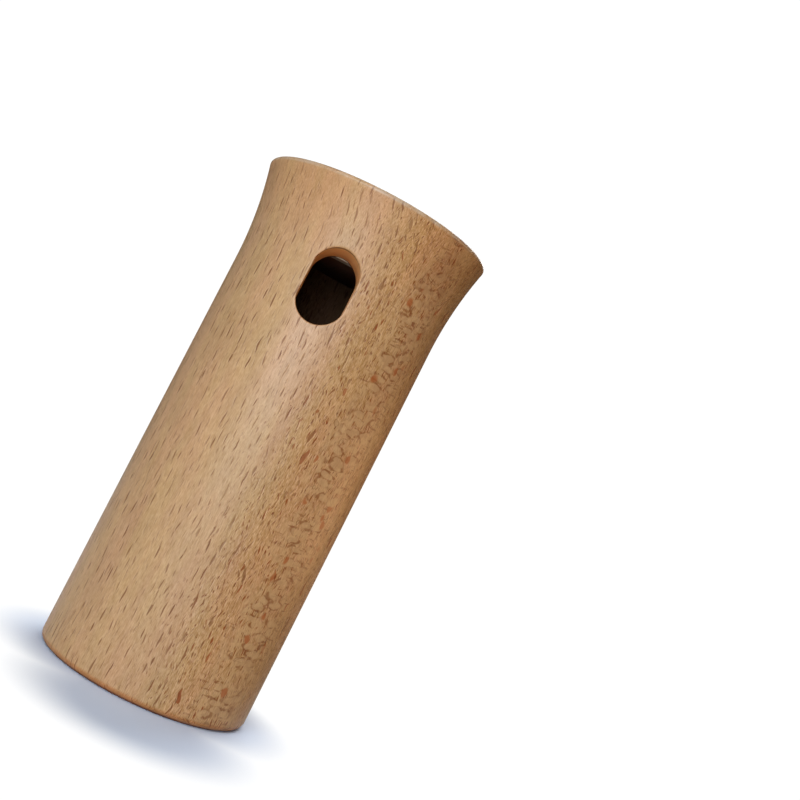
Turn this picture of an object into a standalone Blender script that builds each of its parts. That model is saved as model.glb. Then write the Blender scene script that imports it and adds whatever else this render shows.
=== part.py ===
"""Owl whistle: a turned beech body with a window, a mouthpiece block and an end plug.

The whistle stands on its foot. Its axis is +Z, the window faces -Y, and the origin is
the middle of the foot. All sizes are in metres.
"""
import math

import bmesh
import bpy
from mathutils import Matrix

# Body: a turned tube that flares out to the lip rest at the top
BODY_LENGTH = 0.100
BODY_RADIUS = 0.021
RIM_RADIUS = 0.0236
FLARE_LENGTH = 0.0200
RIM_ROUND = 0.0007
FOOT_ROUND = 0.0015
BORE_RADIUS = 0.0130

# Window: a slot made by a round cutter that travels along the body
WINDOW_WIDTH = 0.0086
WINDOW_TRAVEL = 0.00595
WINDOW_DROP = 0.01235  # from the top face down to the upper end of the window
WINDOW_OFFSET = -0.0020  # the cutter runs this far beside the axis
WINDOW_PITCH = math.radians(2.3)  # the cutter tips down towards the foot as it goes in

# Mouthpiece block and end plug, both glued into the bore
BLOCK_LENGTH = 0.0131  # ends just below the window's upper edge on the bore
WINDWAY_DEPTH = 0.0014
PLUG_THICKNESS = 0.0080
GLUE_GAP = 0.0003

# Facets of the turned surfaces and of the rounded edges
TURN_STEPS = 72
FLARE_STEPS = 8
ROUND_STEPS = 4
WINDOW_STEPS = 24

# Cutters stand out past what they cut by this much
CUT_OVERRUN = 0.004

BEECH = (0.53, 0.30, 0.15)
END_GRAIN = (0.42, 0.23, 0.11)


def clear_scene():
    """Remove what the scene holds."""
    for old in list(bpy.data.objects):
        bpy.data.objects.remove(old, do_unlink=True)


def new_collection(name):
    """Return a new collection that hangs on the scene."""
    collection = bpy.data.collections.new(name)
    bpy.context.scene.collection.children.link(collection)
    return collection


def wood_material(name, colour, roughness):
    """Return a clear-finished wood."""
    material = bpy.data.materials.new(name)
    material.use_nodes = True
    shader = material.node_tree.nodes["Principled BSDF"]
    shader.inputs["Base Color"].default_value = (*colour, 1.0)
    shader.inputs["Roughness"].default_value = roughness
    shader.inputs["Metallic"].default_value = 0.0
    return material


def add_object(name, mesh, collection, material=None):
    """Put a mesh in a collection under its name."""
    made = bpy.data.objects.new(name, mesh)
    collection.objects.link(made)
    if material:
        mesh.materials.append(material)
    return made


def add_cutter(name, mesh, collection):
    """Put a mesh among the cutters, drawn as a wire."""
    cutter = add_object(name, mesh, collection)
    cutter.hide_render = True
    cutter.display_type = "WIRE"
    return cutter


def cut(target, cutter):
    """Take the cutter's shape out of the target."""
    difference = target.modifiers.new(cutter.name, "BOOLEAN")
    difference.operation = "DIFFERENCE"
    difference.solver = "EXACT"
    difference.object = cutter


def finished_mesh(name, shape):
    """Turn a bmesh into a named mesh."""
    mesh = bpy.data.meshes.new(name)
    shape.to_mesh(mesh)
    shape.free()
    return mesh


def cylinder_mesh(name, radius, low, high):
    """Return an upright cylinder between two heights, smooth round its side."""
    shape = bmesh.new()
    bmesh.ops.create_cone(
        shape, cap_ends=True, segments=TURN_STEPS, radius1=radius, radius2=radius, depth=high - low
    )
    bmesh.ops.translate(shape, verts=shape.verts, vec=(0.0, 0.0, (low + high) / 2))
    mesh = finished_mesh(name, shape)
    mesh.shade_smooth()
    mesh.set_sharp_from_angle(angle=math.radians(30))
    return mesh


def rounded_corner(before, corner, after, radius):
    """Return points on the arc that rounds a profile's corner between its two neighbours."""
    to_before = math.atan2(before[1] - corner[1], before[0] - corner[0])
    to_after = math.atan2(after[1] - corner[1], after[0] - corner[0])
    opening = (to_after - to_before) % math.tau
    if opening > math.pi:
        opening -= math.tau
    middle = to_before + opening / 2
    reach = radius / math.sin(abs(opening) / 2)
    centre = (corner[0] + reach * math.cos(middle), corner[1] + reach * math.sin(middle))
    turn = math.copysign(math.pi - abs(opening), opening)
    start = middle + math.pi + turn / 2
    arc = []
    for step in range(ROUND_STEPS + 1):
        angle = start - turn * step / ROUND_STEPS
        arc.append((centre[0] + radius * math.cos(angle), centre[1] + radius * math.sin(angle)))
    return arc


def flare_radius(height):
    """Return the outer radius at a height on the flare, an arc that leaves the body tangent to it."""
    spread = RIM_RADIUS - BODY_RADIUS
    arc_radius = (FLARE_LENGTH**2 + spread**2) / (2 * spread)
    rise = height - (BODY_LENGTH - FLARE_LENGTH)
    return BODY_RADIUS + arc_radius - math.sqrt(arc_radius**2 - rise**2)


def body_profile():
    """Return the tube's closed profile: over the rim, down the outside, up the bore."""
    bore_top = (BORE_RADIUS, BODY_LENGTH)
    bore_foot = (BORE_RADIUS, 0.0)
    flare_foot = BODY_LENGTH - FLARE_LENGTH
    under_rim = BODY_LENGTH - 2 * RIM_ROUND
    flare = []
    for step in range(FLARE_STEPS + 1):
        height = under_rim + (flare_foot - under_rim) * step / FLARE_STEPS
        flare.append((flare_radius(height), height))
    rim = rounded_corner(bore_top, (RIM_RADIUS, BODY_LENGTH), flare[0], RIM_ROUND)
    foot = rounded_corner(flare[-1], (BODY_RADIUS, 0.0), bore_foot, FOOT_ROUND)
    return [bore_top, *rim, *flare, *foot, bore_foot]


def turned_mesh(name, profile):
    """Return a closed profile as a ring of edges beside the axis, ready to be turned."""
    shape = bmesh.new()
    ring = [shape.verts.new((radius, 0.0, height)) for radius, height in profile]
    for here, there in zip(ring, ring[1:] + ring[:1]):
        shape.edges.new((here, there))
    return finished_mesh(name, shape)


def make_body(parts, cutters):
    """The turned tube, with the window cut through its wall."""
    material = wood_material("beech_body", BEECH, 0.35)
    body = add_object("body", turned_mesh("body", body_profile()), parts, material)
    turn = body.modifiers.new("turning", "SCREW")
    turn.axis = "Z"
    turn.steps = TURN_STEPS
    turn.render_steps = TURN_STEPS
    turn.use_merge_vertices = True
    turn.merge_threshold = 0.00001
    turn.use_smooth_shade = True
    cut(body, make_window_cutter(cutters))


def make_window_cutter(cutters):
    """The slot that the window's cutter leaves, tipped about the middle of the window."""
    shape = bmesh.new()
    upright = Matrix.Rotation(math.pi / 2, 4, "X") @ Matrix.Rotation(math.pi / WINDOW_STEPS, 4, "Z")
    depth = BODY_RADIUS + CUT_OVERRUN
    bmesh.ops.create_cone(
        shape,
        cap_ends=True,
        segments=WINDOW_STEPS,
        radius1=WINDOW_WIDTH / 2,
        radius2=WINDOW_WIDTH / 2,
        depth=depth,
        matrix=upright,
    )
    upper_half = [vert for vert in shape.verts if vert.co.z > 0]
    lower_half = [vert for vert in shape.verts if vert.co.z < 0]
    bmesh.ops.translate(shape, verts=upper_half, vec=(0.0, 0.0, WINDOW_TRAVEL / 2))
    bmesh.ops.translate(shape, verts=lower_half, vec=(0.0, 0.0, -WINDOW_TRAVEL / 2))
    bmesh.ops.translate(shape, verts=shape.verts, vec=(0.0, depth / 2 - CUT_OVERRUN, 0.0))
    cutter = add_cutter("window_cutter", finished_mesh("window_cutter", shape), cutters)
    middle = BODY_LENGTH - WINDOW_DROP - (WINDOW_WIDTH + WINDOW_TRAVEL) / 2
    cutter.rotation_euler = (-WINDOW_PITCH, 0.0, 0.0)
    cutter.location = (WINDOW_OFFSET, -BODY_RADIUS, middle)
    return cutter


def make_mouthpiece_block(parts, cutters):
    """The plug in the top of the bore, flattened on the window's side to leave the windway."""
    material = wood_material("beech_block", END_GRAIN, 0.45)
    low = BODY_LENGTH - BLOCK_LENGTH
    mesh = cylinder_mesh("mouthpiece_block", BORE_RADIUS - GLUE_GAP, low, BODY_LENGTH)
    block = add_object("mouthpiece_block", mesh, parts, material)
    shape = bmesh.new()
    bmesh.ops.create_cube(shape, size=1.0)
    width = 2 * BORE_RADIUS
    height = BLOCK_LENGTH + 2 * CUT_OVERRUN
    bmesh.ops.scale(shape, verts=shape.verts, vec=(width, BORE_RADIUS, height))
    cutter = add_cutter("windway_cutter", finished_mesh("windway_cutter", shape), cutters)
    flat = BORE_RADIUS - WINDWAY_DEPTH
    cutter.location = (0.0, -flat - BORE_RADIUS / 2, BODY_LENGTH - BLOCK_LENGTH / 2)
    cut(block, cutter)


def make_end_plug(parts):
    """The disc that closes the chamber at the foot."""
    material = wood_material("beech_plug", END_GRAIN, 0.45)
    mesh = cylinder_mesh("end_plug", BORE_RADIUS - GLUE_GAP, 0.0, PLUG_THICKNESS)
    add_object("end_plug", mesh, parts, material)


def main():
    """Build the whistle."""
    clear_scene()
    parts = new_collection("owl_whistle")
    cutters = new_collection("cutters")
    make_body(parts, cutters)
    make_mouthpiece_block(parts, cutters)
    make_end_plug(parts)


main()
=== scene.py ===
# %% [markdown]
# # A turned owl whistle in beech
# The whistle is a short beech tube with a flared lip, one oval window, a block that leaves a
# windway beside it, and a plug in the foot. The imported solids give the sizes. This lesson
# dresses them: finer turned surfaces, a softly rolled window edge, and beech that is solid all
# through, so that its rays meet every face the way sawn wood shows them.

# %% Load the frame and keep its box
import math
from collections import Counter

import bmesh
import bpy
from mathutils import Matrix, Quaternion, Vector


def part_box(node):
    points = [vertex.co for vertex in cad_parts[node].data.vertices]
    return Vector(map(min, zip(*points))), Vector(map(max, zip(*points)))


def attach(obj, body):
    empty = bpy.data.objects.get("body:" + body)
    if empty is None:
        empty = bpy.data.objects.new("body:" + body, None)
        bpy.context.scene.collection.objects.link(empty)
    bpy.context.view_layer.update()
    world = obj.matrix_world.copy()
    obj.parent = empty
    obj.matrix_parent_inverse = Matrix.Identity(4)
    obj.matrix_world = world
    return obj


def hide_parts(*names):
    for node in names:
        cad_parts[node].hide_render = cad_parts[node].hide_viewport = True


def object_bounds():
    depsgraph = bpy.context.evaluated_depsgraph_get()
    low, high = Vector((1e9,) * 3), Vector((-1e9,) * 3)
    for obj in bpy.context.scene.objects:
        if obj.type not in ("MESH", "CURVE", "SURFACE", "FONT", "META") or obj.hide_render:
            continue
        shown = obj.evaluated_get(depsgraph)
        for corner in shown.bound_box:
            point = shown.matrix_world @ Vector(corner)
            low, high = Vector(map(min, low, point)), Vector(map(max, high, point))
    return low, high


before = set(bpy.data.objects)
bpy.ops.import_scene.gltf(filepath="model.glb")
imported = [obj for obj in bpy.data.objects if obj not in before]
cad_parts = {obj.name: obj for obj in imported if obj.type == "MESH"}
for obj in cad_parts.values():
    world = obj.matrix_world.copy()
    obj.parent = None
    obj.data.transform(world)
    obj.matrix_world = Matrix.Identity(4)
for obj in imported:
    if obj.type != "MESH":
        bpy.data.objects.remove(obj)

cad_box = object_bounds()
print("solids span", [round(high - low, 4) for low, high in zip(*cad_box)])

# %% [markdown]
# ## The camera
# The photograph looks at the window side from close by, with the whistle leaning to the right.
# The whistle could lean, but a part that stands on its foot is easier to use again, so the camera
# rolls instead. Its place is in millimetres from the middle of the foot. It aims to the right of
# the axis, because the whistle fills the left half of the picture.

# %% Camera
MM = 0.001
CAMERA_PLACE = Vector((4.9, -224.6, 51.4)) * MM
CAMERA_TARGET = Vector((20.0, 0.0, 69.8)) * MM
CAMERA_ROLL = math.radians(26.64)
CAMERA_LENS = 51.75
CAMERA_SENSOR = 36.0
CAMERA_NEAR = 0.01


def link_object(name, data):
    """A new object in the scene."""
    made = bpy.data.objects.new(name, data)
    bpy.context.scene.collection.objects.link(made)
    return made


def add_camera():
    """Place the camera, aim it and roll it about its line of sight."""
    data = bpy.data.cameras.new("camera")
    data.lens = CAMERA_LENS
    data.sensor_width = CAMERA_SENSOR
    data.clip_start = CAMERA_NEAR
    camera = link_object("camera", data)
    camera.location = CAMERA_PLACE
    camera.rotation_mode = "QUATERNION"
    aim = (CAMERA_TARGET - CAMERA_PLACE).to_track_quat("-Z", "Y")
    camera.rotation_quaternion = aim @ Quaternion((0.0, 0.0, 1.0), CAMERA_ROLL)
    bpy.context.scene.camera = camera


add_camera()
print("camera", [round(value, 4) for value in CAMERA_PLACE])

# %% [markdown]
# ## Writing node trees shortly
# A material that is worked out by maths needs many small nodes. They could be placed and linked
# one by one, but then the formula is lost among the links. These helpers make a node, set or
# link its inputs and hand back its output, so that a formula reads like one.

# %% Helpers for values
def feed(tree, socket, value):
    """Link a socket to an input, or set a plain value on it."""
    if isinstance(value, bpy.types.NodeSocket):
        tree.links.new(value, socket)
    else:
        socket.default_value = value


def fill(tree, node, values):
    """Link or set some of a node's inputs, and hand back the node."""
    for name, value in values.items():
        feed(tree, node.inputs[name], value)
    return node


def new_node(tree, kind, values):
    """A node with some of its inputs filled."""
    return fill(tree, tree.nodes.new(kind), values)


def maths(tree, operation, *values):
    """A Math node on one to three values."""
    node = new_node(tree, "ShaderNodeMath", dict(enumerate(values)))
    node.operation = operation
    return node.outputs[0]


def times(tree, *values):
    """Values multiplied together."""
    product = values[0]
    for value in values[1:]:
        product = maths(tree, "MULTIPLY", product, value)
    return product


def vector_maths(tree, operation, first, second):
    """A Vector Math node: its outputs are Vector and Value."""
    node = new_node(tree, "ShaderNodeVectorMath", {0: first, 1: second})
    node.operation = operation
    return node.outputs


def parts_of(tree, vector):
    """A vector's three values."""
    return new_node(tree, "ShaderNodeSeparateXYZ", {0: vector}).outputs


def smooth(tree, value, low, high, to_low=0.0, to_high=1.0):
    """A smooth step from one range to another."""
    limits = {"From Min": low, "From Max": high, "To Min": to_low, "To Max": to_high}
    node = new_node(tree, "ShaderNodeMapRange", {"Value": value, **limits})
    node.interpolation_type = "SMOOTHSTEP"
    return node.outputs["Result"]


print("helpers for values are ready")


# %% Helpers for colours and shaders
def mixed(tree, share, first, second, blend="MIX"):
    """Two colours mixed by a share."""
    node = tree.nodes.new("ShaderNodeMix")
    node.data_type = "RGBA"
    node.blend_type = blend
    sockets = [node.inputs["Factor"]] + [s for s in node.inputs if s.type == "RGBA"]
    for socket, value in zip(sockets, (share, first, second)):
        feed(tree, socket, value)
    return [s for s in node.outputs if s.type == "RGBA"][0]


def mixed_shader(tree, share, first, second):
    """Two shaders mixed by a share."""
    return new_node(tree, "ShaderNodeMixShader", {0: share, 1: first, 2: second}).outputs[0]


def for_camera(tree, lit, seen):
    """One shader that lights the scene, and another that the camera sees."""
    path = tree.nodes.new("ShaderNodeLightPath")
    return mixed_shader(tree, path.outputs["Is Camera Ray"], lit, seen)


print("helpers for colours and shaders are ready")

# %% [markdown]
# ## The floor
# A plain floor would show its horizon in the rolled picture, so the pale floor fades into white,
# for the camera alone. A ring round the foot and a soft patch in front of it keep the shadow.
# The floor that lights the whistle is matt white, with darker, warmer painted shade on the right.

# %% Floor
FLOOR_RADIUS = 6.0
FLOOR_SIDES = 96
FLOOR_WHITE = (0.74, 0.74, 0.74, 1.0)
# painted shade: the floor that lights the whistle is darker and warmer on the right
FLOOR_PAINTED_SHADE = (0.52, 0.38, 0.25, 1.0)
PAINTED_SHADE_SIDE = (0.015, 0.060)
FLOOR_SEEN = (0.79, 0.90, 1.08, 1.0)
FOOT_FADE = ((0.0, 0.0, 0.0), 0.020, 0.034)  # middle, where the fade starts, where it ends
SHADOW_FADE = ((0.002, -0.026, 0.0), 0.010, 0.027)
WHITE_STRENGTH = 1.05


def floor_seen(tree, place):
    """What the camera sees: the floor near the foot, and plain white further out."""
    fades = []
    for middle, start, end in (FOOT_FADE, SHADOW_FADE):
        distance = vector_maths(tree, "DISTANCE", place, middle)["Value"]
        fades.append(smooth(tree, distance, start, end))
    near = new_node(tree, "ShaderNodeBsdfDiffuse", {"Color": FLOOR_SEEN})
    far = new_node(tree, "ShaderNodeEmission", {"Strength": WHITE_STRENGTH})
    return mixed_shader(tree, maths(tree, "MINIMUM", *fades), near.outputs[0], far.outputs[0])


def floor_material():
    """Matt white with painted shade on the right, and a camera's view of its own."""
    material = bpy.data.materials.new("floor_white")
    material.use_nodes = True
    tree = material.node_tree
    place = tree.nodes.new("ShaderNodeTexCoord").outputs["Object"]
    side = smooth(tree, parts_of(tree, place)["X"], *PAINTED_SHADE_SIDE)
    tint = mixed(tree, side, FLOOR_WHITE, FLOOR_PAINTED_SHADE)
    matt = tree.nodes["Principled BSDF"]
    fill(tree, matt, {"Roughness": 1.0, "Specular IOR Level": 0.0, "Base Color": tint})
    shown = for_camera(tree, matt.outputs[0], floor_seen(tree, place))
    fill(tree, tree.nodes["Material Output"], {"Surface": shown})
    return material


def add_floor():
    """A wide round floor at the foot."""
    shape = bmesh.new()
    bmesh.ops.create_circle(shape, cap_ends=True, segments=FLOOR_SIDES, radius=FLOOR_RADIUS)
    mesh = bpy.data.meshes.new("floor")
    shape.to_mesh(mesh)
    shape.free()
    mesh.materials.append(floor_material())
    floor = link_object("floor", mesh)


add_floor()
print("floor of radius", FLOOR_RADIUS)

# %% [markdown]
# ## Surround and lights
# The photograph has soft light from the left and front, and a dim warm right side. A world with
# two sides gives that: white on the left, brown on the right, and plain white for the camera.
# One large soft light just left of the camera gives the long sheen down the body. A small warm
# one fills the right side, and one behind keeps the back from going dark. A single bright world
# would be simpler, but it would flatten the turned form.

# %% Surround
SURROUND_FAR = (0.075, 0.043, 0.020, 1.0)
SURROUND_NEAR = (0.26, 0.26, 0.26, 1.0)
SURROUND_SIDE = (-0.7, -0.7, 0.15)
PLAIN_WHITE = (1.0, 1.0, 1.0, 1.0)


def add_surround():
    """A white world that lights one side of the whistle more than the other."""
    world = bpy.data.worlds.new("surround")
    bpy.context.scene.world = world
    world.use_nodes = True
    tree = world.node_tree
    direction = tree.nodes.new("ShaderNodeTexCoord").outputs["Generated"]
    side = vector_maths(tree, "DOT_PRODUCT", direction, SURROUND_SIDE)["Value"]
    light = tree.nodes["Background"]
    share = smooth(tree, side, -1.0, 1.0)
    feed(tree, light.inputs["Color"], mixed(tree, share, SURROUND_FAR, SURROUND_NEAR))
    plain = {"Color": PLAIN_WHITE, "Strength": WHITE_STRENGTH}
    white = new_node(tree, "ShaderNodeBackground", plain)
    shown = for_camera(tree, light.outputs[0], white.outputs[0])
    fill(tree, tree.nodes["World Output"], {"Surface": shown})


add_surround()
print("surround is", bpy.context.scene.world.name)

# %% Lights
LIGHTS = {  # azimuth from the front, elevation, distance, size, spread, power, colour
    "key": (-13.5, 18, 0.60, (0.34, 0.37), 180, 2.86, (0.950, 1.010, 1.090)),
    "fill": (108, -2, 0.110, (0.08, 0.05), 60, 0.0042, (1.0, 0.60, 0.29)),
    "back": (165, 38, 0.60, (0.40, 0.40), 180, 2.20, (1.0, 1.0, 1.0)),
}


def add_light(name, azimuth, elevation, distance, size, spread, power, colour):
    """A soft light that faces the middle of the whistle and isn't seen itself."""
    data = bpy.data.lights.new(name, "AREA")
    data.shape = "RECTANGLE"
    data.size, data.size_y = size
    data.spread = math.radians(spread)
    data.energy = power
    data.color = colour
    light = link_object(name, data)
    around, up = math.radians(azimuth), math.radians(elevation)
    flat = math.cos(up)
    out = Vector((math.sin(around) * flat, -math.cos(around) * flat, math.sin(up)))
    light.location = (cad_box[0] + cad_box[1]) / 2 + out * distance
    light.rotation_mode = "QUATERNION"
    light.rotation_quaternion = (-out).to_track_quat("-Z", "Y")
    light.visible_camera = False


for light_name, light_values in LIGHTS.items():
    add_light(light_name, *light_values)
bpy.context.scene.view_settings.view_transform = "Standard"

# %% [markdown]
# ## Sizes of the turned pieces
# These repeat the driving sizes of the solids, in metres. They could be measured off the solids,
# but those are faceted, and the true radii are wanted here. Only the length comes from the
# frame. The rim is a hair smaller than the solid's, so that it stays inside the facets' box.

# %% Sizes
BODY_LENGTH = cad_box[1].z
BODY_RADIUS = 0.021
RIM_RADIUS = 0.02358
FLARE_LENGTH = 0.0200
RIM_ROUND = 0.0007
FOOT_ROUND = 0.0015
BORE_RADIUS = 0.0130
WINDOW_WIDTH = 0.0086
WINDOW_TRAVEL = 0.00595
WINDOW_DROP = 0.01235
WINDOW_OFFSET = -0.0020
WINDOW_PITCH = math.radians(2.3)
WINDWAY_DEPTH = 0.0014
window_middle = BODY_LENGTH - WINDOW_DROP - (WINDOW_WIDTH + WINDOW_TRAVEL) / 2
flare_foot = BODY_LENGTH - FLARE_LENGTH
print("window middle at", round(window_middle, 5))

# %% [markdown]
# ## The body's half section
# A turner works from a half section: over the rim, down the flare and the straight side, round
# the foot and back up the bore. It could be drawn as a curve, but points worked out from the
# sizes keep the rows of the mesh where the window needs them. The flare is an arc that leaves
# the body tangent to it, so only its radius has to be found.

# %% Outline of the flare
def flare_radius(height):
    """Outer radius of the body at a height."""
    rise = height - flare_foot
    if rise <= 0:
        return BODY_RADIUS
    spread = RIM_RADIUS - BODY_RADIUS
    arc_radius = (FLARE_LENGTH**2 + spread**2) / (2 * spread)
    return BODY_RADIUS + arc_radius - math.sqrt(arc_radius**2 - rise**2)


print("radius at the window", round(flare_radius(window_middle), 5))

# %% Half section
ROUND_STEPS = 8
FLARE_STEPS = 26
WINDOW_ROW = 0.0015
WINDOW_ROWS = 8
STRAIGHT_STEPS = 12
BORE_EDGE = 0.0003


def section_point(radius, height):
    """A point of the half section."""
    return Vector((radius, 0.0, height))


def rounded_corner(before, corner, after, radius):
    """Points on the arc that rounds a corner of the half section."""
    to_before = (before - corner).normalized()
    to_after = (after - corner).normalized()
    middle = (to_before + to_after).normalized()
    half = to_before.angle(to_after) / 2
    centre = corner + middle * (radius / math.sin(half))
    start = (corner + to_before * (radius / math.tan(half)) - centre).normalized()
    end = (corner + to_after * (radius / math.tan(half)) - centre).normalized()
    steps = range(ROUND_STEPS + 1)
    return [centre + radius * start.slerp(end, step / ROUND_STEPS) for step in steps]


def side_heights():
    """Heights of the mesh's rows, from under the rim to the foot."""
    under_rim = BODY_LENGTH - 2 * RIM_ROUND
    heights = []
    for step in range(FLARE_STEPS + 1):
        heights.append(under_rim + (flare_foot - under_rim) * step / FLARE_STEPS)
    for step in range(1, WINDOW_ROWS + 1):
        heights.append(flare_foot - step * WINDOW_ROW)
    below = flare_foot - WINDOW_ROWS * WINDOW_ROW
    for step in range(1, STRAIGHT_STEPS + 1):
        heights.append(below + (2 * FOOT_ROUND - below) * step / STRAIGHT_STEPS)
    return heights


def half_section():
    """The closed half section of the tube."""
    heights = side_heights()
    side = [section_point(flare_radius(height), height) for height in heights]
    bore = [section_point(BORE_RADIUS, height) for height in reversed(heights)]
    bore_top = section_point(BORE_RADIUS, BODY_LENGTH - BORE_EDGE)
    bore_foot = section_point(BORE_RADIUS, BORE_EDGE)
    lip_in = section_point(BORE_RADIUS + BORE_EDGE, BODY_LENGTH)
    foot_in = section_point(BORE_RADIUS + BORE_EDGE, 0.0)
    rim = rounded_corner(lip_in, section_point(RIM_RADIUS, BODY_LENGTH), side[0], RIM_ROUND)
    foot = rounded_corner(side[-1], section_point(BODY_RADIUS, 0.0), foot_in, FOOT_ROUND)
    return [lip_in, *rim, *side, *foot, foot_in, bore_foot, *bore, bore_top]


section = half_section()
print("half section of", len(section), "points")

# %% [markdown]
# ## The window's outline
# The window is a slot left by a round cutter that travels along the body. In the photograph it
# leans a little, one side bulges and it points slightly to one side, as handwork does. A solid
# cutter would lose those small things. So a round-ended outline is drawn flat, and slid along
# the cutter's line until every point lies on the turned surface, or on the bore.

# %% Window outline
SLOT_END_STEPS = 48
SLOT_SIDE_STEPS = 18
SLOT_TILT = math.radians(0.5)
SLOT_BULGE = 0.00035
SLOT_YAW = math.radians(1.9)
SEAT_PASSES = 4


def slot_outline(spread):
    """Points round the slot, wider than the slot by spread, in the XZ plane."""
    radius = WINDOW_WIDTH / 2 + spread
    half_travel = WINDOW_TRAVEL / 2
    outline = []
    for side in (1, -1):
        for step in range(SLOT_END_STEPS):
            angle = math.pi * step / SLOT_END_STEPS
            end = Vector((radius * math.cos(angle), 0.0, half_travel + radius * math.sin(angle)))
            outline.append(side * end)
        for step in range(SLOT_SIDE_STEPS):
            height = WINDOW_TRAVEL * (0.5 - step / SLOT_SIDE_STEPS)
            outline.append(side * Vector((-radius, 0.0, height)))
    for point in outline:
        along = point.z / (half_travel + radius)
        point.x += SLOT_BULGE * max(0.0, point.x / radius) ** 2 * (1 - along**2)
        point.rotate(Matrix.Rotation(SLOT_TILT, 3, "Y"))
    return outline


def seated(outline, radius_at, depth):
    """Slide an outline along the cutter's line onto a surface, then a little deeper."""
    points = []
    for flat in outline:
        x = flat.x + WINDOW_OFFSET
        height = window_middle + flat.z
        for _ in range(SEAT_PASSES):
            y = -math.sqrt(radius_at(height) ** 2 - x**2) + depth
            inward = y + BODY_RADIUS
            x = flat.x + WINDOW_OFFSET - inward * math.tan(SLOT_YAW)
            lean = flat.z / math.cos(WINDOW_PITCH)
            height = window_middle + lean - inward * math.tan(WINDOW_PITCH)
        points.append(Vector((x, y, height)))
    return points


print("window outline of", len(slot_outline(0.0)), "points")

# %% [markdown]
# ## Turning the body and opening the window
# Spinning the half section gives a clean tube. The window could be cut with a Boolean, but then
# its edge can't be rolled over evenly. Instead a patch of the tube is taken out, inside and
# outside, and a ring in the shape of the slot is extruded through the wall. The first rings lie
# on the outside and roll over the edge, and the last lie on the bore. Both patches are then
# bridged to the rings.

# %% Rings of edges
def closed_ring(shape, points):
    """A closed ring of edges through some points."""
    ring = [shape.verts.new(point) for point in points]
    for here, there in zip(ring, ring[1:] + ring[:1]):
        shape.edges.new((here, there))
    return ring


def ring_edges(ring):
    """The edges that join a ring's own points."""
    own = set(ring)
    edges = {edge for vert in ring for edge in vert.link_edges}
    return [edge for edge in edges if edge.verts[0] in own and edge.verts[1] in own]


def next_ring(shape, ring, points):
    """Extrude a ring and move what was extruded to its own points."""
    made = bmesh.ops.extrude_edge_only(shape, edges=ring_edges(ring))
    moved = {}
    for vert in made["geom"]:
        if isinstance(vert, bmesh.types.BMVert):
            for edge in vert.link_edges:
                moved[edge.other_vert(vert)] = vert
    new_ring = [moved[vert] for vert in ring]
    for vert, point in zip(new_ring, points):
        vert.co = point
    return new_ring


print("rings can be made and extruded")

# %% Tube
TURN_STEPS = 256
MERGE_DISTANCE = 1e-6


def spun_tube():
    """The half section turned all the way round."""
    shape = bmesh.new()
    closed_ring(shape, section)
    bmesh.ops.spin(
        shape,
        geom=shape.verts[:] + shape.edges[:],
        axis=(0.0, 0.0, 1.0),
        cent=(0.0, 0.0, 0.0),
        steps=TURN_STEPS,
        angle=math.tau,
        use_merge=True,
    )
    bmesh.ops.remove_doubles(shape, verts=shape.verts, dist=MERGE_DISTANCE)
    return shape


tube = spun_tube()
print("tube of", len(tube.faces), "faces")

# %% Window
EDGE_SOFT = 0.00026
EDGE_STEPS = 4
OUTER_PATCH_MARGIN = 0.0022
BORE_PATCH_MARGIN = 0.0016
FAR_RING = 0.0012  # how far the rings that meet the patches stand out from the slot
NEAR_RING = 0.0004
BORE_RING = 0.0007


def open_patch(shape, faces, margin, fall):
    """Take out the faces round the window and return the edges of the hole."""
    reach_x = WINDOW_WIDTH / 2 + margin
    reach_z = (WINDOW_WIDTH + WINDOW_TRAVEL) / 2 + margin
    inside = []
    for face in faces:
        middle = face.calc_center_median()
        beside = abs(middle.x - WINDOW_OFFSET)
        above = abs(middle.z - window_middle + fall)
        if middle.y < 0 and beside < reach_x and above < reach_z:
            inside.append(face)
    counts = Counter(edge for face in inside for edge in face.edges)
    rim = [edge for edge, count in counts.items() if count == 1]
    bmesh.ops.delete(shape, geom=inside, context="FACES")
    return rim


def open_wall(shape):
    """Open a patch on the outside and one on the bore, and return both holes' edges."""
    wall_middle = (BODY_RADIUS + BORE_RADIUS) / 2
    outer, inner = [], []
    for face in shape.faces:
        middle = face.calc_center_median()
        near_axis = math.hypot(middle.x, middle.y) < wall_middle
        (inner if near_axis else outer).append(face)
    bore_fall = (BODY_RADIUS - BORE_RADIUS) * math.tan(WINDOW_PITCH)
    outer_hole = open_patch(shape, outer, OUTER_PATCH_MARGIN, 0.0)
    return outer_hole, open_patch(shape, inner, BORE_PATCH_MARGIN, bore_fall)


def window_rings():
    """The points of each ring, from the outside, over the rolled edge and in to the bore."""
    rings = [(FAR_RING, flare_radius, 0.0), (EDGE_SOFT + NEAR_RING, flare_radius, 0.0)]
    for step in range(EDGE_STEPS + 1):
        angle = math.pi / 2 * step / EDGE_STEPS
        spread = EDGE_SOFT * (1 - math.sin(angle))
        rings.append((spread, flare_radius, EDGE_SOFT * (1 - math.cos(angle))))
    rings += [(spread, lambda height: BORE_RADIUS, 0.0) for spread in (0.0, BORE_RING)]
    return [seated(slot_outline(spread), radius_at, depth) for spread, radius_at, depth in rings]


def cut_window(shape):
    """Open the window through the wall of the tube."""
    outer_hole, bore_hole = open_wall(shape)
    first, *others = window_rings()
    ring = closed_ring(shape, first)
    outer_edges = outer_hole + ring_edges(ring)
    for points in others:
        ring = next_ring(shape, ring, points)
    bore_edges = bore_hole + ring_edges(ring)
    for edges in (outer_edges, bore_edges):
        bmesh.ops.bridge_loops(shape, edges=edges)
    bmesh.ops.recalc_face_normals(shape, faces=shape.faces)


cut_window(tube)
print("tube with its window has", len(tube.faces), "faces")

# %% Body
BODY_SHARP = 40


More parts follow.
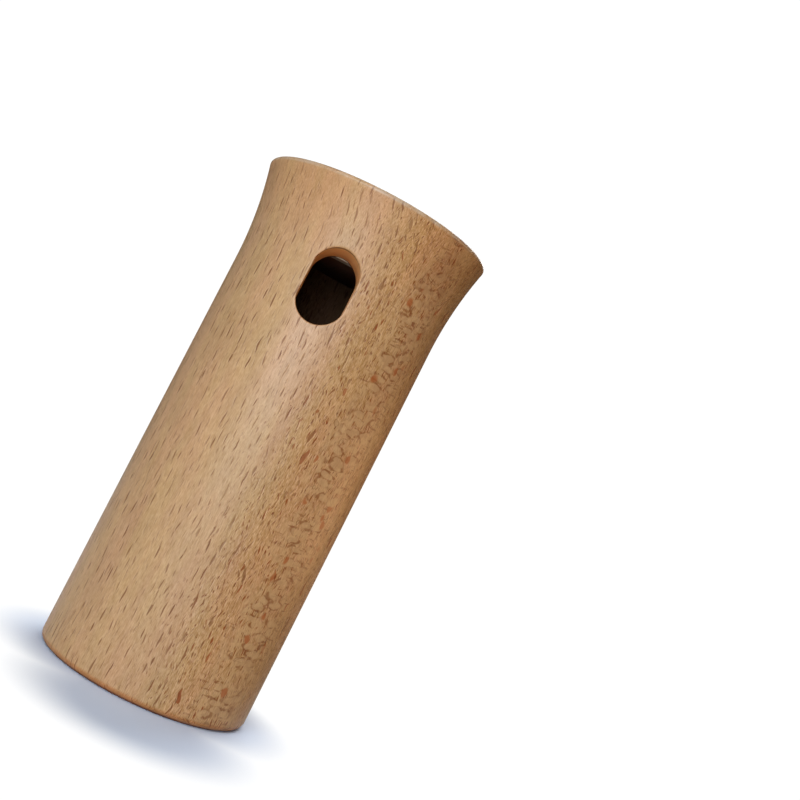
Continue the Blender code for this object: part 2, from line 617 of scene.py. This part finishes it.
def finish_piece(name, shape, node, sharp):
    """Turn a bmesh into a shaded piece that stands for a CAD node."""
    open_edges = [edge for edge in shape.edges if not edge.is_manifold]
    mesh = bpy.data.meshes.new(name)
    shape.to_mesh(mesh)
    shape.free()
    mesh.shade_smooth()
    mesh.set_sharp_from_angle(angle=math.radians(sharp))
    piece = link_object(name, mesh)
    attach(piece, "root")
    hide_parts(node)
    print(name, len(mesh.polygons), "faces,", len(open_edges), "open edges")
    return piece


body = finish_piece("turned_body", tube, "body", BODY_SHARP)
in_front = Vector((WINDOW_OFFSET, -2 * BODY_RADIUS, window_middle))
through = body.ray_cast(in_front, Vector((0.0, 1.0, 0.0)))
print("a line through the window meets wood at", [round(value, 4) for value in through[1]])

# %% [markdown]
# ## The mouthpiece block and the end plug
# Both are short dowels glued into the bore. The block loses a slice on the window's side, and
# the slit that is left between its flat and the bore is the windway. A plane bisects the block,
# as a saw would, which leaves cleaner edges than a Boolean. Fine bevels on the dowels and on the
# bore make the glue line show as a thin groove, and the block's lip at the window is eased more.

# %% Block and plug
DOWEL_STEPS = 192
DOWEL_SHARP = 30
DOWEL_EDGE = 0.00025
LIP_EDGE = 0.0006
GLUE_LINE = 0.00006
BEVEL_STEPS = 2
CLOSE = 1e-5


def dowel(low, high):
    """A dowel that fills the bore between two heights."""
    radius = BORE_RADIUS - GLUE_LINE
    shape = bmesh.new()
    bmesh.ops.create_cone(
        shape,
        cap_ends=True,
        segments=DOWEL_STEPS,
        radius1=radius,
        radius2=radius,
        depth=high - low,
        matrix=Matrix.Translation((0.0, 0.0, (low + high) / 2)),
    )
    return shape


def bevel_edges(shape, edges, width):
    """Round some edges over."""
    shaping = {"segments": BEVEL_STEPS, "profile": 0.5, "affect": "EDGES", "material": -1}
    bmesh.ops.bevel(shape, geom=edges, offset=width, **shaping)


def sharp_edges(shape):
    """Every edge that turns by more than half a right angle."""
    return [edge for edge in shape.edges if edge.calc_face_angle(0.0) > math.pi / 4]


def flattened_block():
    """The block, sliced flat on the window's side."""
    low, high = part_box("mouthpiece_block")
    shape = dowel(low.z, high.z)
    flat = -(BORE_RADIUS - WINDWAY_DEPTH)
    cut = bmesh.ops.bisect_plane(
        shape,
        geom=shape.verts[:] + shape.edges[:] + shape.faces[:],
        plane_co=(0.0, flat, 0.0),
        plane_no=(0.0, -1.0, 0.0),
        clear_outer=True,
    )
    rim = [part for part in cut["geom_cut"] if isinstance(part, bmesh.types.BMEdge)]
    bmesh.ops.contextual_create(shape, geom=rim)
    lip = []
    for edge in rim:
        if all(vert.co.z < low.z + CLOSE and vert.co.y < flat + CLOSE for vert in edge.verts):
            lip.append(edge)
    bevel_edges(shape, lip, LIP_EDGE)
    bevel_edges(shape, sharp_edges(shape), DOWEL_EDGE)
    bmesh.ops.recalc_face_normals(shape, faces=shape.faces)
    return shape


def foot_plug():
    """The plug in the foot."""
    low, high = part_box("end_plug")
    shape = dowel(low.z, high.z)
    bevel_edges(shape, sharp_edges(shape), DOWEL_EDGE)
    return shape


block = finish_piece(
    "windway_block", flattened_block(), "mouthpiece_block", DOWEL_SHARP
)
plug = finish_piece("foot_plug", foot_plug(), "end_plug", DOWEL_SHARP)

# %% [markdown]
# ## Rays of the wood
# Beech is full of rays: thin upright sheets that run from the heart of the tree outwards. Cut
# across, a ray shows as a short dark dash that tapers at both ends. Cut along, it shows as a
# broad fleck. A picture of wood would show one cut only, so both come out of one solid pattern:
# scattered lens shapes in the plane across the rays, carried through the wood along them. The
# pattern is used many times, so it is a node group.

# %% Helpers for node groups
FLOAT, VECTOR, COLOUR = "NodeSocketFloat", "NodeSocketVector", "NodeSocketColor"


def new_group(name, inputs, outputs):
    """A node group with named sockets, what it is given, and the node for its results."""
    group = bpy.data.node_groups.new(name, "ShaderNodeTree")
    for way, sockets in (("INPUT", inputs), ("OUTPUT", outputs)):
        for label, kind in sockets.items():
            group.interface.new_socket(label, in_out=way, socket_type=kind)
    given = group.nodes.new("NodeGroupInput").outputs
    return group, given, group.nodes.new("NodeGroupOutput")


def place_group(tree, group, values):
    """A node group placed in a tree with its own values."""
    node = tree.nodes.new("ShaderNodeGroup")
    node.node_tree = group
    return fill(tree, node, values).outputs


def straight(tree, value, to_low, to_high):
    """A value from 0 to 1 taken straight to another range."""
    values = {"Value": value, "To Min": to_low, "To Max": to_high}
    return new_node(tree, "ShaderNodeMapRange", values).outputs["Result"]


def cells(tree, vector, dimensions="3D"):
    """Scattered cells on coordinates that are already to scale."""
    node = new_node(tree, "ShaderNodeTexVoronoi", {"Vector": vector, "Scale": 1.0})
    node.voronoi_dimensions = dimensions
    return node.outputs


def squared(tree, value):
    """A value times itself."""
    return maths(tree, "POWER", value, 2.0)


def hypotenuse(tree, first, second):
    """The long side over two sides at a right angle."""
    return maths(tree, "SQRT", maths(tree, "ADD", squared(tree, first), squared(tree, second)))


print("helpers for node groups are ready")

# %% Ray group
RAY_HEIGHTS = (0.55, 1.2)  # the smallest and the largest share of the given size
RAY_WIDTHS = (0.4, 1.3)


def ray_group():
    """Scattered lens shapes, in millimetres: X across the rays, Y along them, Z up the grain."""
    halves = {"Half Width": FLOAT, "Half Length": FLOAT, "Half Height": FLOAT}
    inputs = {"Place": VECTOR, "Spacing": VECTOR, **halves}
    outputs = {"Inside": FLOAT, "Chance": FLOAT, "Kind": FLOAT}
    group, given, result = new_group("wood_rays", inputs, outputs)
    scaled = vector_maths(group, "DIVIDE", given["Place"], given["Spacing"])["Vector"]
    scatter = cells(group, scaled)
    away = vector_maths(group, "SUBTRACT", scaled, scatter["Position"])["Vector"]
    away = vector_maths(group, "MULTIPLY", away, given["Spacing"])["Vector"]
    x, y, z = parts_of(group, away)
    chance = parts_of(group, scatter["Color"])
    tall = times(group, given["Half Height"], straight(group, chance[0], *RAY_HEIGHTS))
    thick = times(group, given["Half Width"], straight(group, chance[1], *RAY_WIDTHS))
    share_z = squared(group, maths(group, "DIVIDE", z, tall))
    share_y = squared(group, maths(group, "DIVIDE", y, given["Half Length"]))
    taper = maths(group, "SUBTRACT", 1.0, maths(group, "ADD", share_z, share_y))
    half = times(group, thick, taper)
    inside = maths(group, "SUBTRACT", half, maths(group, "ABSOLUTE", x))
    fill(group, result, {"Inside": inside, "Chance": chance[2], "Kind": chance[1]})
    return group


wood_rays = ray_group()
print("ray group has", len(wood_rays.nodes), "nodes")

# %% [markdown]
# ## Beech: the ground between the rays
# Between its rays beech is tan and drifts to pink, with faint growth rings round the pith, fine
# lines and small pores. Noise stretched along the grain makes all but the rings. A grey shade
# would look dusty: in the photograph dark grain is more orange and pale grain whiter, so the
# shade has its own power for red, green and blue. The grain is bolder where the surface comes
# near to lying along the rays.

# %% Helpers for the ground
def vector_of(tree, x, y, z):
    """Three values as a vector."""
    return new_node(tree, "ShaderNodeCombineXYZ", {0: x, 1: y, 2: z}).outputs[0]


def stretched(tree, parts, sizes):
    """Coordinates divided by a size along each axis."""
    scaled = [maths(tree, "DIVIDE", part, size) for part, size in zip(parts, sizes)]
    return vector_of(tree, *scaled)


def noise(tree, parts, sizes, detail=2.0, roughness=0.5):
    """Noise between about 0 and 1, with a size along each axis."""
    place = stretched(tree, parts, sizes)
    values = {"Vector": place, "Scale": 1.0, "Detail": detail, "Roughness": roughness}
    return new_node(tree, "ShaderNodeTexNoise", values).outputs


print("helpers for the ground are ready")

# %% Ground
TAN = (0.508, 0.314, 0.147, 1.0)
PINK = (0.520, 0.302, 0.153, 1.0)
RAY_DARK = (0.172, 0.058, 0.012, 1.0)
SHADE_POWERS = (0.75, 1.05, 1.75)
TONE_SIZE = (4.5, 4.5, 26.0)  # millimetres across, along the rays and up the grain
PATCH_SIZE = (2.0, 2.0, 7.0)
LINE_SIZE = (0.17, 0.17, 2.2)
PORE_SIZE = (0.17, 0.17, 0.95)
DAPPLE_SIZE = (0.45, 0.45, 1.0)
PATCH_SHADE = (0.95, 1.05)
LINE_SHADE = (0.92, 1.07)
PORE_DEPTH = (0.11, 0.27)  # away from the rays, and near them
DAPPLE_DEPTH = (0.02, 0.08)
NOISE_MIDDLE = (0.30, 0.70)
FINE_ROUGHNESS = 0.6
RING_SPACING = 3.1
PITH_DISTANCE = 95.0
LATE_WOOD = 0.07


def growth_rings(tree, place, wavy):
    """The late wood of the growth rings, from 0 to 1."""
    distance = hypotenuse(tree, maths(tree, "ADD", wavy[1], PITH_DISTANCE), place[0])
    ring = maths(tree, "FRACT", maths(tree, "DIVIDE", distance, RING_SPACING))
    return times(tree, smooth(tree, ring, 0.45, 0.93), smooth(tree, ring, 1.0, 0.93))


def grain_shade(tree, place, near_rays):
    """Light and dark in the grain, and the pores' own pattern."""
    lines = noise(tree, place, LINE_SIZE, roughness=FINE_ROUGHNESS)["Fac"]
    pores = noise(tree, place, PORE_SIZE, roughness=FINE_ROUGHNESS)["Fac"]
    dapple = noise(tree, place, DAPPLE_SIZE, detail=1.0)["Fac"]
    shade = smooth(tree, lines, *NOISE_MIDDLE, *LINE_SHADE)
    for pattern, depths in ((pores, PORE_DEPTH), (dapple, DAPPLE_DEPTH)):
        swing = smooth(tree, pattern, *NOISE_MIDDLE, -1.0, 1.0)
        depth = straight(tree, near_rays, *depths)
        shade = times(tree, shade, maths(tree, "MULTIPLY_ADD", swing, depth, 1.0))
    return shade, pores


def ground(tree, place, wavy, near_rays):
    """The colour between the rays, and the pores' pattern."""
    tone = noise(tree, place, TONE_SIZE)["Fac"]
    colour = mixed(tree, smooth(tree, tone, 0.34, 0.66), TAN, PINK)
    patch = noise(tree, place, PATCH_SIZE)["Fac"]
    patch = smooth(tree, patch, *NOISE_MIDDLE, *PATCH_SHADE)
    colour = mixed(tree, 1.0, colour, vector_of(tree, patch, patch, patch), "MULTIPLY")
    late = times(tree, growth_rings(tree, place, wavy), LATE_WOOD)
    colour = mixed(tree, late, colour, RAY_DARK)
    shade, pores = grain_shade(tree, place, near_rays)
    shade = vector_of(tree, *[maths(tree, "POWER", shade, power) for power in SHADE_POWERS])
    return mixed(tree, 1.0, colour, shade, "MULTIPLY"), pores


print("growth rings every", RING_SPACING, "mm")

# %% [markdown]
# ## Beech: how the surface cuts the wood
# The same wood looks different from each side, because the turned surface cuts it at every
# angle. The way the surface faces, in the wood's own directions, says how: along the rays, near
# to that, on the slope of the flare or on end grain. A painted map could say it too, but angles
# work for the block and the plug as well. Rays also wander as they grow, so the place in the
# wood is pushed about a little.

# %% Cut and wander
ALONG_SHARES = {  # from and to, of how far the surface faces along X, across the rays
    "some_rays": (0.50, 0.88, 0.12, 1.0),
    "near_rays": (0.70, 0.96),
    "radial": (0.80, 0.97),
    "along_rays": (0.93, 0.985),
    "flare_band": (0.955, 0.995),
    "flake_band": (0.970, 0.992),
}
UP_SHARES = {  # from and to, of how far the surface faces up or down the grain
    "slope": (0.03, 0.26),
    "upright": (0.55, 0.28),
    "end_grain": (0.60, 0.97),
}
DRIFT_SIZE = (5.0, 7.0, 6.0)
DRIFT_REACH = (1.1, 2.5, 1.6)
CURL_SIZE = (1.5, 1.5, 1.5)
CURL_REACH = (1.0, 1.0, 1.0)


def how_cut(tree, facing):
    """A share from 0 to 1 for each way that the surface cuts the wood."""
    x, _, z = parts_of(tree, facing)
    along = maths(tree, "ABSOLUTE", x)
    up = maths(tree, "ABSOLUTE", z)
    cut = {name: smooth(tree, along, *limits) for name, limits in ALONG_SHARES.items()}
    cut.update({name: smooth(tree, up, *limits) for name, limits in UP_SHARES.items()})
    return cut


def pushed(tree, parts, pushes, reaches):
    """A place moved by noise, up to half a reach either way."""
    moved = []
    for part, push, reach in zip(parts, pushes, reaches):
        moved.append(maths(tree, "MULTIPLY_ADD", maths(tree, "SUBTRACT", push, 0.5), reach, part))
    return moved


def wander(tree, place):
    """The place that wandering rays follow, a curlier one, and the curl itself."""
    drift = parts_of(tree, noise(tree, place, DRIFT_SIZE)["Color"])
    wavy = pushed(tree, place, drift, DRIFT_REACH)
    curl = parts_of(tree, noise(tree, place, CURL_SIZE, detail=1.0)["Color"])
    return wavy, pushed(tree, wavy, curl, CURL_REACH), curl


print("ways to cut the wood:", [*ALONG_SHARES, *UP_SHARES])

# %% [markdown]
# ## Beech: fine and large rays
# Fine rays are everywhere, faint and short. Large rays are fewer, longer and darker, and redder
# where the surface comes near to lying along them. Where it does lie along them, both open out
# into pale flecks, some of them orange. Each kind is the ray group placed with its own spacing
# and sizes, so no ray has to be drawn.

# %% Fine and large rays
RAY_RED = (0.285, 0.072, 0.014, 1.0)
FLECK_PALE = (0.575, 0.385, 0.205, 1.0)
FLECK_ORANGE = (0.385, 0.110, 0.030, 1.0)
FINE_FLESH = 0.85
LARGE_FLESH = 0.80


def ray_sizes(*sizes):
    """Spacing, half width, half length and half height for the ray group, in millimetres."""
    return dict(zip(("Spacing", "Half Width", "Half Length", "Half Height"), sizes))


FINE_RAYS = ray_sizes((0.62, 3.0, 2.4), 0.075, 2.4, 0.85)
LARGE_RAYS = ray_sizes((1.40, 9.0, 4.4), 0.132, 8.0, 1.60)


def add_fine_rays(tree, colour, wavy, cut):
    """Fine rays on a colour, and where they are."""
    fine = place_group(tree, wood_rays, {"Place": vector_of(tree, *wavy), **FINE_RAYS})
    mask = smooth(tree, fine["Inside"], -0.005, 0.03)
    share = straight(tree, fine["Chance"], 0.08, 0.50)
    share = times(tree, share, straight(tree, cut["near_rays"], 1.0, 1.7))
    colour = mixed(tree, times(tree, mask, share), colour, RAY_DARK)
    flesh = times(tree, smooth(tree, fine["Inside"], 0.020, 0.045), cut["along_rays"])
    return mixed(tree, times(tree, flesh, FINE_FLESH), colour, FLECK_PALE), mask


def add_large_rays(tree, colour, wavy, cut):
    """Large rays on a colour, and how far inside them a place is."""
    large = place_group(tree, wood_rays, {"Place": vector_of(tree, *wavy), **LARGE_RAYS})
    inside, chance = large["Inside"], large["Chance"]
    redness = times(tree, cut["near_rays"], smooth(tree, chance, 0.45, 0.80))
    share = straight(tree, chance, 0.46, 0.90)
    share = times(tree, share, straight(tree, cut["along_rays"], 1.0, 0.25))
    share = times(tree, smooth(tree, inside, 0.0, 0.03), share)
    colour = mixed(tree, share, colour, mixed(tree, redness, RAY_DARK, RAY_RED))
    flesh = times(tree, smooth(tree, inside, 0.0, 0.06), cut["along_rays"])
    flesh = times(tree, flesh, maths(tree, "SUBTRACT", 1.0, cut["slope"]), LARGE_FLESH)
    tint = mixed(tree, smooth(tree, chance, 0.72, 0.76), FLECK_PALE, FLECK_ORANGE)
    return mixed(tree, flesh, colour, tint), inside


print("large rays every", LARGE_RAYS["Spacing"][0], "mm across")

# %% [markdown]
# ## Beech: what shows along the rays
# A band down the whistle lies along the rays, and there the wood is lively: a pale mottle, small
# and tiny dark marks that follow the grain, marks across it like rungs, pale flakes stacked up
# the grain with a broken brown outline, and a few round orange spots. The marks are the ray
# group again, turned so that the lenses lie flat in the surface. Flakes and spots are Voronoi
# cells, whose distance gives an outline and an inside.

# %% Mottle and marks
RAY_BROWN = (0.205, 0.058, 0.012, 1.0)
MOTTLE_SIZE = (1.5, 1.3, 2.3)
LADDER_SIZE = (3.0, 3.0, 11.0)
SMALL_MARKS = ray_sizes((0.95, 2.0, 2.30), 0.16, 1.6, 0.90)
TINY_MARKS = ray_sizes((0.52, 1.2, 1.25), 0.085, 1.0, 0.52)
CROSS_MARKS = ray_sizes((2.8, 3.0, 1.40), 1.30, 3.0, 0.22)


def add_mottle(tree, colour, wavy, cut):
    """Pale patches where the surface lies along the rays, and their pattern."""
    mottle = noise(tree, wavy, MOTTLE_SIZE)["Fac"]
    pale = times(tree, smooth(tree, mottle, 0.40, 0.60, 0.0, 0.6), cut["along_rays"])
    return mixed(tree, pale, colour, FLECK_PALE), mottle


def add_small_marks(tree, colour, flat_place, mottle, cut):
    """Small dark or red marks, fewer in the pale mottle."""
    small = place_group(tree, wood_rays, {"Place": flat_place, **SMALL_MARKS})
    share = smooth(tree, small["Chance"], 0.15, 0.60, 0.0, 0.97)
    share = times(tree, share, cut["near_rays"])
    share = times(tree, smooth(tree, mottle, 0.58, 0.46, 0.30, 1.0), share)
    mask = times(tree, smooth(tree, small["Inside"], -0.02, 0.06), share)
    return mixed(tree, mask, colour, mixed(tree, small["Kind"], RAY_DARK, RAY_RED))


def add_tiny_marks(tree, colour, flat_place, cut):
    """Tiny brown marks, and where they are."""
    tiny = place_group(tree, wood_rays, {"Place": flat_place, **TINY_MARKS})
    share = smooth(tree, tiny["Chance"], 0.20, 0.80, 0.0, 0.92)
    share = times(tree, share, cut["some_rays"])
    mask = times(tree, smooth(tree, tiny["Inside"], -0.02, 0.05), share)
    return mixed(tree, mask, colour, RAY_BROWN), mask


def add_cross_marks(tree, colour, place, flat_place, cut):
    """Marks across the grain, like rungs, in some stretches of it."""
    cross = place_group(tree, wood_rays, {"Place": flat_place, **CROSS_MARKS})
    ladder = noise(tree, place, LADDER_SIZE, detail=0.0)["Fac"]
    share = times(tree, smooth(tree, ladder, 0.50, 0.56, 0.0, 0.50), cut["along_rays"])
    mask = times(tree, smooth(tree, cross["Inside"], 0.0, 0.6), share)
    return mixed(tree, mask, colour, RAY_BROWN)


print("small marks every", SMALL_MARKS["Spacing"][2], "mm up the grain")

# %% Flakes and spots
FLAKE_SPACING = (3.9, 1.65)
SPOT_SPACING = (3.0, 2.7, 3.5)


def add_flakes(tree, colour, curly, curl, cut):
    """Pale flakes stacked up the grain, each with a broken brown outline."""
    across = maths(tree, "DIVIDE", curly[1], FLAKE_SPACING[0])
    up = maths(tree, "DIVIDE", curly[2], FLAKE_SPACING[1])
    flakes = cells(tree, vector_of(tree, across, up, 0.0), "2D")
    distance = flakes["Distance"]
    chance = parts_of(tree, flakes["Color"])[0]
    share = times(tree, smooth(tree, chance, 0.26, 0.30), cut["flake_band"])
    broken = smooth(tree, curl[1], 0.44, 0.60, 0.05, 0.66)
    outline = times(tree, smooth(tree, distance, 0.66, 0.48), share, broken)
    colour = mixed(tree, outline, colour, RAY_BROWN)
    inside = times(tree, smooth(tree, distance, 0.42, 0.30, 0.0, 0.66), share)
    return mixed(tree, inside, colour, FLECK_PALE)


def add_spots(tree, colour, curly, cut):
    """A few round orange spots."""
    spots = cells(tree, stretched(tree, curly, SPOT_SPACING))
    chance = parts_of(tree, spots["Color"])[0]
    share = times(tree, smooth(tree, chance, 0.89, 0.91, 0.0, 0.80), cut["along_rays"])
    mask = times(tree, smooth(tree, spots["Distance"], 0.31, 0.15), share)
    return mixed(tree, mask, colour, FLECK_ORANGE)


print("flakes of", FLAKE_SPACING[0], "by", FLAKE_SPACING[1], "mm")

# %% [markdown]
# ## Beech: one group for all of it
# Wood cut along the rays is a little warmer. Where the grain runs into the surface the wood
# drinks more finish, so the flare is more orange and the end grain is dark. The flare is darker
# where it also lies along the rays, which is painted shade. One group puts everything together:
# it takes a place in the wood and the way the surface faces, and gives a colour, a roughness and
# a height. Rays and tiny marks are slightly sunk, which a bump shows without any new geometry.

# %% Beech group
RADIAL_TINT = (1.005, 0.915, 0.800, 1.0)
SLOPE_TINT = (0.99, 0.92, 0.82, 1.0)
FLARE_PAINTED_SHADE = (0.71, 0.58, 0.54, 1.0)
END_SHADE = (0.68, 0.56, 0.46, 1.0)
GROUND_ROUGH = 0.40
PORE_ROUGH = 0.16
RAY_ROUGH = 0.12
END_ROUGH = 0.12
PORE_RISE = 0.35
LARGE_DIP = -1.0
FINE_DIP = -0.3
TINY_DIP = -0.9


def add_tints(tree, colour, cut):
    """The finish that the wood has drunk, and painted shade on the flare along the rays."""
    both = times(tree, cut["slope"], cut["flare_band"])
    colour = mixed(tree, cut["radial"], colour, RADIAL_TINT, "MULTIPLY")
    colour = mixed(tree, cut["slope"], colour, SLOPE_TINT, "MULTIPLY")
    # painted shade: the flare is darker where it lies along the rays
    colour = mixed(tree, both, colour, FLARE_PAINTED_SHADE, "MULTIPLY")
    return mixed(tree, cut["end_grain"], colour, END_SHADE, "MULTIPLY")


def added(tree, start, *terms):
    """A value plus pairs of a pattern and its weight."""
    for pattern, weight in terms:
        start = maths(tree, "MULTIPLY_ADD", pattern, weight, start)
    return start


def beech_group():
    """Solid beech."""
    inputs = {"Place": VECTOR, "Facing": VECTOR}
    outputs = {"Colour": COLOUR, "Roughness": FLOAT, "Height": FLOAT}
    group, given, result = new_group("beech", inputs, outputs)
    place = parts_of(group, given["Place"])
    cut = how_cut(group, given["Facing"])
    wavy, curly, curl = wander(group, place)
    flat_place = vector_of(group, wavy[1], wavy[0], wavy[2])

    colour, pores = ground(group, place, wavy, cut["near_rays"])
    colour, mottle = add_mottle(group, colour, wavy, cut)
    colour, fine = add_fine_rays(group, colour, wavy, cut)
    colour, large = add_large_rays(group, colour, wavy, cut)
    colour = add_small_marks(group, colour, flat_place, mottle, cut)
    colour, tiny = add_tiny_marks(group, colour, flat_place, cut)
    colour = add_cross_marks(group, colour, place, flat_place, cut)
    colour = add_flakes(group, colour, curly, curl, cut)
    colour = add_spots(group, colour, curly, cut)
    colour = add_tints(group, colour, cut)

    ray = smooth(group, large, 0.0, 0.03)
    centred = maths(group, "SUBTRACT", pores, 0.5)
    rough = maths(group, "MULTIPLY_ADD", centred, PORE_ROUGH, GROUND_ROUGH)
    rough = added(group, rough, (ray, RAY_ROUGH), (cut["end_grain"], END_ROUGH))

    dip = smooth(group, large, -0.10, 0.07)
    height = times(group, pores, PORE_RISE)
    height = added(group, height, (dip, LARGE_DIP), (fine, FINE_DIP), (tiny, TINY_DIP))
    height = times(group, height, cut["upright"])
    fill(group, result, {"Colour": colour, "Roughness": rough, "Height": height})
    return group


beech = beech_group()
print("beech group has", len(beech.nodes), "nodes")

# %% [markdown]
# ## Where shade, light and wear are painted
# The same beech looks different in a few places. The bore is rough, and darkened with painted
# shade, as are the block's end and the plug's face in the chamber. The wall of the window is cut
# across the grain, and its deep bright orange is painted bounce light. The rounded edge of the
# foot has painted shade, darkest underneath. The rim is rubbed pale in spots by handling. The
# block's lip has painted light where it shows in the window. Separate materials would have hard
# borders, so each place is found by its height and its distance from the axis, and fades out.

# %% Places on the body
# painted shade for the bore and for the block's end and the plug's face in the chamber
BORE_PAINTED_SHADE = (0.22, 0.19, 0.19, 1.0)
# painted bounce light: the window's wall is painted a bright deep orange
WALL_PAINTED_BOUNCE = (0.98, 0.50, 0.19, 1.0)
WALL_BOUNCE_SHARE = 0.8
# painted shade on the foot's rounded edge, darkest underneath
FOOT_PAINTED_SHADE = (0.90, 0.70, 0.55, 1.0)
FOOT_PAINTED_DEEP_SHADE = (0.46, 0.32, 0.30, 1.0)
RIM_PALE = (0.58, 0.46, 0.33, 1.0)
RUB_SIZE = (3.0 * MM, 3.0 * MM, 3.0 * MM)


def between(tree, value, low, high, soft):
    """1 where a value lies between two limits, fading outside them."""
    above = smooth(tree, value, low - soft, low)
    return times(tree, above, smooth(tree, value, high + soft, high))


def add_foot_shade(tree, colour, radius, height):
    """Painted shade on the rounded edge of the foot, darkest underneath."""
    outside = smooth(tree, radius, BODY_RADIUS - 2.0 * MM, BODY_RADIUS - 1.5 * MM)
    foot = times(tree, smooth(tree, height, 1.6 * MM, 0.7 * MM), outside)
    colour = mixed(tree, foot, colour, FOOT_PAINTED_SHADE, "MULTIPLY")
    under = times(tree, smooth(tree, height, 0.75 * MM, 0.30 * MM), outside)
    return mixed(tree, under, colour, FOOT_PAINTED_DEEP_SHADE, "MULTIPLY")


def add_rubbed_rim(tree, colour, place, radius, height):
    """The rim, rubbed pale in spots."""
    rubbed = noise(tree, parts_of(tree, place), RUB_SIZE, detail=1.0)["Fac"]
    top = smooth(tree, height, BODY_LENGTH - 1.1 * MM, BODY_LENGTH - 0.5 * MM)
    edge = smooth(tree, radius, RIM_RADIUS - 1.2 * MM, RIM_RADIUS - 0.7 * MM)
    share = times(tree, top, edge, smooth(tree, rubbed, 0.38, 0.68, 0.20, 0.60))
    return mixed(tree, share, colour, RIM_PALE)


def body_places(tree, place, colour):
    """Body colour: wall with painted light, foot with painted shade, rubbed rim; and the bore."""
    x, y, height = parts_of(tree, place)
    radius = hypotenuse(tree, x, y)
    wall = between(tree, radius, BORE_RADIUS + 0.4 * MM, BODY_RADIUS - 0.5 * MM, 0.2 * MM)
    inner = between(tree, height, 3 * MM, BODY_LENGTH - 3 * MM, 0.5 * MM)
    # painted bounce light on the window's wall
    colour = mixed(tree, times(tree, wall, inner, WALL_BOUNCE_SHARE), colour, WALL_PAINTED_BOUNCE)
    colour = add_foot_shade(tree, colour, radius, height)
    colour = add_rubbed_rim(tree, colour, place, radius, height)
    return colour, smooth(tree, radius, BORE_RADIUS + 0.35 * MM, BORE_RADIUS + 0.1 * MM)


print("the body has a bore, a window wall, a foot and a rim")

# %% Places on the block and the plug
# painted light on the block's lip where it shows in the window
LIP_PAINTED_LIGHT = (0.82, 0.77, 0.60, 1.0)


def block_places(tree, place, colour):
    """The block's colour with painted light on its lip, and its end, for painted shade."""
    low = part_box("mouthpiece_block")[0].z
    lip_line = -(BORE_RADIUS - WINDWAY_DEPTH - LIP_EDGE)
    _, across, height = parts_of(tree, place)
    lip = smooth(tree, height, low + 1.2 * MM, low + 0.9 * MM)
    lip = times(tree, lip, smooth(tree, across, lip_line + 0.1 * MM, lip_line))
    # the block's end in the chamber, which gets painted shade
    end = smooth(tree, height, low + 0.45 * MM, low + 0.30 * MM)
    return mixed(tree, lip, colour, LIP_PAINTED_LIGHT), end


def plug_places(tree, place, colour):
    """The plug's colour, and where its face closes the chamber, for painted shade."""
    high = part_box("end_plug")[1].z
    height = parts_of(tree, place)[2]
    # the plug's face in the chamber, which gets painted shade
    return colour, smooth(tree, height, high - 0.15 * MM, high - 0.05 * MM)


print("the block has a lip, and both dowels an end in the chamber")

# %% [markdown]
# ## Beech on each piece
# Each piece is sawn with the rays running its own way, so each material turns the same group
# about the grain and takes its wood from another place. One shared material would run the rays
# on from piece to piece. The satin clear finish is a thin coat, and the bore has none.

# %% Materials
GRAIN_DEPTH = 0.00007
GRAIN_STRENGTH = 0.70
SPECULAR = 0.35
COAT = 0.17
COAT_ROUGHNESS = 0.35
METRES_TO_MM = 1000.0


def wood_place(tree, coords, ray_angle, shift):
    """A place in the wood in millimetres, and the way the surface faces in it."""
    turn = {"Rotation": (0.0, 0.0, -math.radians(ray_angle))}
    scaled = {"Scale": (METRES_TO_MM,) * 3, "Location": shift, **turn}
    place = new_node(tree, "ShaderNodeMapping", {"Vector": coords["Object"], **scaled})
    facing = new_node(tree, "ShaderNodeMapping", {"Vector": coords["Normal"], **turn})
    facing.vector_type = "VECTOR"
    return {"Place": place.outputs[0], "Facing": facing.outputs[0]}


def beech_material(name, ray_angle, shift, places):
    """Beech whose rays face ray_angle, in degrees round the axis from +X."""
    material = bpy.data.materials.new(name)
    material.use_nodes = True
    tree = material.node_tree
    coords = tree.nodes.new("ShaderNodeTexCoord").outputs
    wood = place_group(tree, beech, wood_place(tree, coords, ray_angle, shift))
    colour, bore = places(tree, coords["Object"], wood["Colour"])
    relief = {"Strength": GRAIN_STRENGTH, "Distance": GRAIN_DEPTH, "Height": wood["Height"]}
    grain = new_node(tree, "ShaderNodeBump", relief)
    finish = {
        # painted shade darkens the bore, the block's end and the plug's face
        "Base Color": mixed(tree, bore, colour, BORE_PAINTED_SHADE, "MULTIPLY"),
        "Roughness": maths(tree, "MAXIMUM", wood["Roughness"], bore),
        "Specular IOR Level": SPECULAR,
        "Coat Weight": straight(tree, bore, COAT, 0.0),
        "Coat Roughness": COAT_ROUGHNESS,
        "Normal": grain.outputs["Normal"],
    }
    fill(tree, tree.nodes["Principled BSDF"], finish)
    return material


for piece, name, ray_angle, shift, places in (
    (body, "beech_body", -45.75, (0.0, 0.0, 0.0), body_places),
    (block, "beech_block", 18.0, (31.0, 12.0, 7.0), block_places),
    (plug, "beech_plug", 71.0, (57.0, 23.0, 41.0), plug_places),
):
    piece.data.materials.append(beech_material(name, ray_angle, shift, places))
print("beech is on", [piece.name for piece in (body, block, plug)])

# %% [markdown]
# ## Finishing the scene
# The dressed pieces have to stay in the box of the solids, on which the part was tested. The
# dressed pieces have to stay in the box of the solids, and a look can't tell a tenth of a
# millimetre. This cell only brings the scene up to date.

# %% Finish
bpy.context.view_layer.update()
